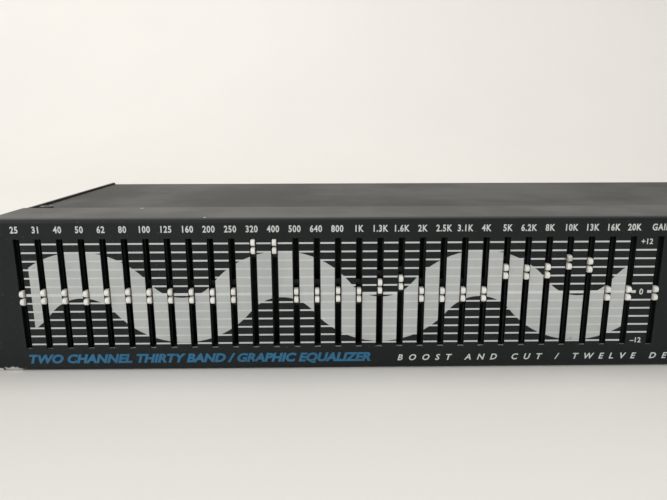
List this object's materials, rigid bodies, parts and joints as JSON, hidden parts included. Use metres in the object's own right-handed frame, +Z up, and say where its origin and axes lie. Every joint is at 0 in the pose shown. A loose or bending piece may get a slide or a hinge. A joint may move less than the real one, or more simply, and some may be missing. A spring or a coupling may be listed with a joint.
{
  "type": "graphic equalizer",
  "caption": "Low rack-mount graphic equalizer for audio: a folded black panel full of narrow vertical slots with small white sliding knobs, on a shallow sheet-metal case.",
  "frame": {"origin": "middle of the outline in plan, on the surface the case stands on", "axes": "+X to the right seen from the front, +Y from the front panel to the back, +Z up"},
  "size_m": [0.4826, 0.109, 0.044],
  "materials": {
    "black_panel": "satin baked black paint, lightly worn",
    "black_shell": "fine-textured satin black paint",
    "plated_steel": "dull tin plating",
    "black_steel": "matt black oxide",
    "circuit_board": "green solder resist",
    "component_body": "black moulded component bodies",
    "jack_body": "black moulded nylon",
    "plated_nut": "bright nickel plating",
    "button_cap": "off-white moulded cap",
    "slider_knob": "off-white moulded acetal, slightly grubby",
    "red_lens": "tinted clear lens",
    "green_lens": "tinted clear lens",
    "black_screw": "black oxide"
  },
  "bodies": {
    "case": {"board_components": "component_body", "bottom_pan": "black_shell", "button_switches": "component_body", "case_screws": "black_screw", "clip_leds": "red_lens", "eq_leds": "green_lens", "front_panel": "black_panel", "jack_nuts": "plated_nut", "left_pot_frames": "black_steel", "left_side_plate": "black_shell", "line_jacks": "jack_body", "main_board": "circuit_board", "phono_jacks": "plated_nut", "pin_headers": "component_body", "power_inlet": "jack_body", "rear_panel": "black_shell", "right_pot_frames": "black_steel", "right_side_plate": "black_shell", "slider_boards": "circuit_board", "standoffs": "plated_steel", "top_cover": "black_shell"},
    "left_slider_25": {"left_slider_25": "slider_knob"},
    "left_slider_31": {"left_slider_31": "slider_knob"},
    "left_slider_40": {"left_slider_40": "slider_knob"},
    "left_slider_50": {"left_slider_50": "slider_knob"},
    "left_slider_62": {"left_slider_62": "slider_knob"},
    "left_slider_80": {"left_slider_80": "slider_knob"},
    "left_slider_100": {"left_slider_100": "slider_knob"},
    "left_slider_125": {"left_slider_125": "slider_knob"},
    "left_slider_160": {"left_slider_160": "slider_knob"},
    "left_slider_200": {"left_slider_200": "slider_knob"},
    "left_slider_250": {"left_slider_250": "slider_knob"},
    "left_slider_320": {"left_slider_320": "slider_knob"},
    "left_slider_400": {"left_slider_400": "slider_knob"},
    "left_slider_500": {"left_slider_500": "slider_knob"},
    "left_slider_640": {"left_slider_640": "slider_knob"},
    "left_slider_800": {"left_slider_800": "slider_knob"},
    "left_slider_1k": {"left_slider_1k": "slider_knob"},
    "left_slider_1k3": {"left_slider_1k3": "slider_knob"},
    "left_slider_1k6": {"left_slider_1k6": "slider_knob"},
    "left_slider_2k": {"left_slider_2k": "slider_knob"},
    "left_slider_2k5": {"left_slider_2k5": "slider_knob"},
    "left_slider_3k1": {"left_slider_3k1": "slider_knob"},
    "left_slider_4k": {"left_slider_4k": "slider_knob"},
    "left_slider_5k": {"left_slider_5k": "slider_knob"},
    "left_slider_6k2": {"left_slider_6k2": "slider_knob"},
    "left_slider_8k": {"left_slider_8k": "slider_knob"},
    "left_slider_10k": {"left_slider_10k": "slider_knob"},
    "left_slider_13k": {"left_slider_13k": "slider_knob"},
    "left_slider_16k": {"left_slider_16k": "slider_knob"},
    "left_slider_20k": {"left_slider_20k": "slider_knob"},
    "left_slider_gain": {"left_slider_gain": "slider_knob"},
    "right_sliders_25_to_80": {"right_sliders_25_to_80": "slider_knob"},
    "right_sliders_100_to_320": {"right_sliders_100_to_320": "slider_knob"},
    "right_sliders_400_to_1k3": {"right_sliders_400_to_1k3": "slider_knob"},
    "right_sliders_1k6_to_5k": {"right_sliders_1k6_to_5k": "slider_knob"},
    "right_sliders_6k2_to_20k": {"right_sliders_6k2_to_20k": "slider_knob"},
    "right_slider_gain": {"right_slider_gain": "slider_knob"},
    "left_eq_button": {"left_eq_button": "button_cap"},
    "right_eq_button": {"right_eq_button": "button_cap"}
  },
  "joints": [
    {"name": "left_slider_25_slide", "type": "slide", "parent": "case", "child": "left_slider_25", "axis": [0, 0, 1], "range_m": [-0.0128, 0.0143]},
    {"name": "left_slider_31_slide", "type": "slide", "parent": "case", "child": "left_slider_31", "axis": [0, 0, 1], "range_m": [-0.0131, 0.014]},
    {"name": "left_slider_40_slide", "type": "slide", "parent": "case", "child": "left_slider_40", "axis": [0, 0, 1], "range_m": [-0.0131, 0.014]},
    {"name": "left_slider_50_slide", "type": "slide", "parent": "case", "child": "left_slider_50", "axis": [0, 0, 1], "range_m": [-0.0128, 0.0143]},
    {"name": "left_slider_62_slide", "type": "slide", "parent": "case", "child": "left_slider_62", "axis": [0, 0, 1], "range_m": [-0.0131, 0.014]},
    {"name": "left_slider_80_slide", "type": "slide", "parent": "case", "child": "left_slider_80", "axis": [0, 0, 1], "range_m": [-0.01325, 0.01385]},
    {"name": "left_slider_100_slide", "type": "slide", "parent": "case", "child": "left_slider_100", "axis": [0, 0, 1], "range_m": [-0.0131, 0.014]},
    {"name": "left_slider_125_slide", "type": "slide", "parent": "case", "child": "left_slider_125", "axis": [0, 0, 1], "range_m": [-0.0131, 0.014]},
    {"name": "left_slider_160_slide", "type": "slide", "parent": "case", "child": "left_slider_160", "axis": [0, 0, 1], "range_m": [-0.0131, 0.014]},
    {"name": "left_slider_200_slide", "type": "slide", "parent": "case", "child": "left_slider_200", "axis": [0, 0, 1], "range_m": [-0.013, 0.0141]},
    {"name": "left_slider_250_slide", "type": "slide", "parent": "case", "child": "left_slider_250", "axis": [0, 0, 1], "range_m": [-0.0131, 0.014]},
    {"name": "left_slider_320_slide", "type": "slide", "parent": "case", "child": "left_slider_320", "axis": [0, 0, 1], "range_m": [-0.0271, 0]},
    {"name": "left_slider_400_slide", "type": "slide", "parent": "case", "child": "left_slider_400", "axis": [0, 0, 1], "range_m": [-0.0271, 0]},
    {"name": "left_slider_500_slide", "type": "slide", "parent": "case", "child": "left_slider_500", "axis": [0, 0, 1], "range_m": [-0.0131, 0.014]},
    {"name": "left_slider_640_slide", "type": "slide", "parent": "case", "child": "left_slider_640", "axis": [0, 0, 1], "range_m": [-0.0131, 0.014]},
    {"name": "left_slider_800_slide", "type": "slide", "parent": "case", "child": "left_slider_800", "axis": [0, 0, 1], "range_m": [-0.01325, 0.01385]},
    {"name": "left_slider_1k_slide", "type": "slide", "parent": "case", "child": "left_slider_1k", "axis": [0, 0, 1], "range_m": [-0.0131, 0.014]},
    {"name": "left_slider_1k3_slide", "type": "slide", "parent": "case", "child": "left_slider_1k3", "axis": [0, 0, 1], "range_m": [-0.01555, 0.01155]},
    {"name": "left_slider_1k6_slide", "type": "slide", "parent": "case", "child": "left_slider_1k6", "axis": [0, 0, 1], "range_m": [-0.01665, 0.01045]},
    {"name": "left_slider_2k_slide", "type": "slide", "parent": "case", "child": "left_slider_2k", "axis": [0, 0, 1], "range_m": [-0.0131, 0.014]},
    {"name": "left_slider_2k5_slide", "type": "slide", "parent": "case", "child": "left_slider_2k5", "axis": [0, 0, 1], "range_m": [-0.013, 0.0141]},
    {"name": "left_slider_3k1_slide", "type": "slide", "parent": "case", "child": "left_slider_3k1", "axis": [0, 0, 1], "range_m": [-0.0131, 0.014]},
    {"name": "left_slider_4k_slide", "type": "slide", "parent": "case", "child": "left_slider_4k", "axis": [0, 0, 1], "range_m": [-0.0131, 0.014]},
    {"name": "left_slider_5k_slide", "type": "slide", "parent": "case", "child": "left_slider_5k", "axis": [0, 0, 1], "range_m": [-0.0196, 0.0075]},
    {"name": "left_slider_6k2_slide", "type": "slide", "parent": "case", "child": "left_slider_6k2", "axis": [0, 0, 1], "range_m": [-0.0194, 0.0077]},
    {"name": "left_slider_8k_slide", "type": "slide", "parent": "case", "child": "left_slider_8k", "axis": [0, 0, 1], "range_m": [-0.0197, 0.0074]},
    {"name": "left_slider_10k_slide", "type": "slide", "parent": "case", "child": "left_slider_10k", "axis": [0, 0, 1], "range_m": [-0.0222, 0.0049]},
    {"name": "left_slider_13k_slide", "type": "slide", "parent": "case", "child": "left_slider_13k", "axis": [0, 0, 1], "range_m": [-0.0213, 0.0058]},
    {"name": "left_slider_16k_slide", "type": "slide", "parent": "case", "child": "left_slider_16k", "axis": [0, 0, 1], "range_m": [-0.0131, 0.014]},
    {"name": "left_slider_20k_slide", "type": "slide", "parent": "case", "child": "left_slider_20k", "axis": [0, 0, 1], "range_m": [-0.0131, 0.014]},
    {"name": "left_slider_gain_slide", "type": "slide", "parent": "case", "child": "left_slider_gain", "axis": [0, 0, 1], "range_m": [-0.0131, 0.014]},
    {"name": "right_sliders_25_to_80_slide", "type": "slide", "parent": "case", "child": "right_sliders_25_to_80", "axis": [0, 0, 1], "range_m": [-0.0131, 0.014]},
    {"name": "right_sliders_100_to_320_slide", "type": "slide", "parent": "case", "child": "right_sliders_100_to_320", "axis": [0, 0, 1], "range_m": [-0.0131, 0.014]},
    {"name": "right_sliders_400_to_1k3_slide", "type": "slide", "parent": "case", "child": "right_sliders_400_to_1k3", "axis": [0, 0, 1], "range_m": [-0.0131, 0.014]},
    {"name": "right_sliders_1k6_to_5k_slide", "type": "slide", "parent": "case", "child": "right_sliders_1k6_to_5k", "axis": [0, 0, 1], "range_m": [-0.0131, 0.014]},
    {"name": "right_sliders_6k2_to_20k_slide", "type": "slide", "parent": "case", "child": "right_sliders_6k2_to_20k", "axis": [0, 0, 1], "range_m": [-0.0131, 0.014]},
    {"name": "right_slider_gain_slide", "type": "slide", "parent": "case", "child": "right_slider_gain", "axis": [0, 0, 1], "range_m": [-0.0131, 0.014]},
    {"name": "left_eq_button_press", "type": "slide", "parent": "case", "child": "left_eq_button", "axis": [0, 1, 0], "range_m": [0, 0.002], "stiffness_N_per_m": 400},
    {"name": "right_eq_button_press", "type": "slide", "parent": "case", "child": "right_eq_button", "axis": [0, 1, 0], "range_m": [0, 0.002], "stiffness_N_per_m": 400}
  ]
}
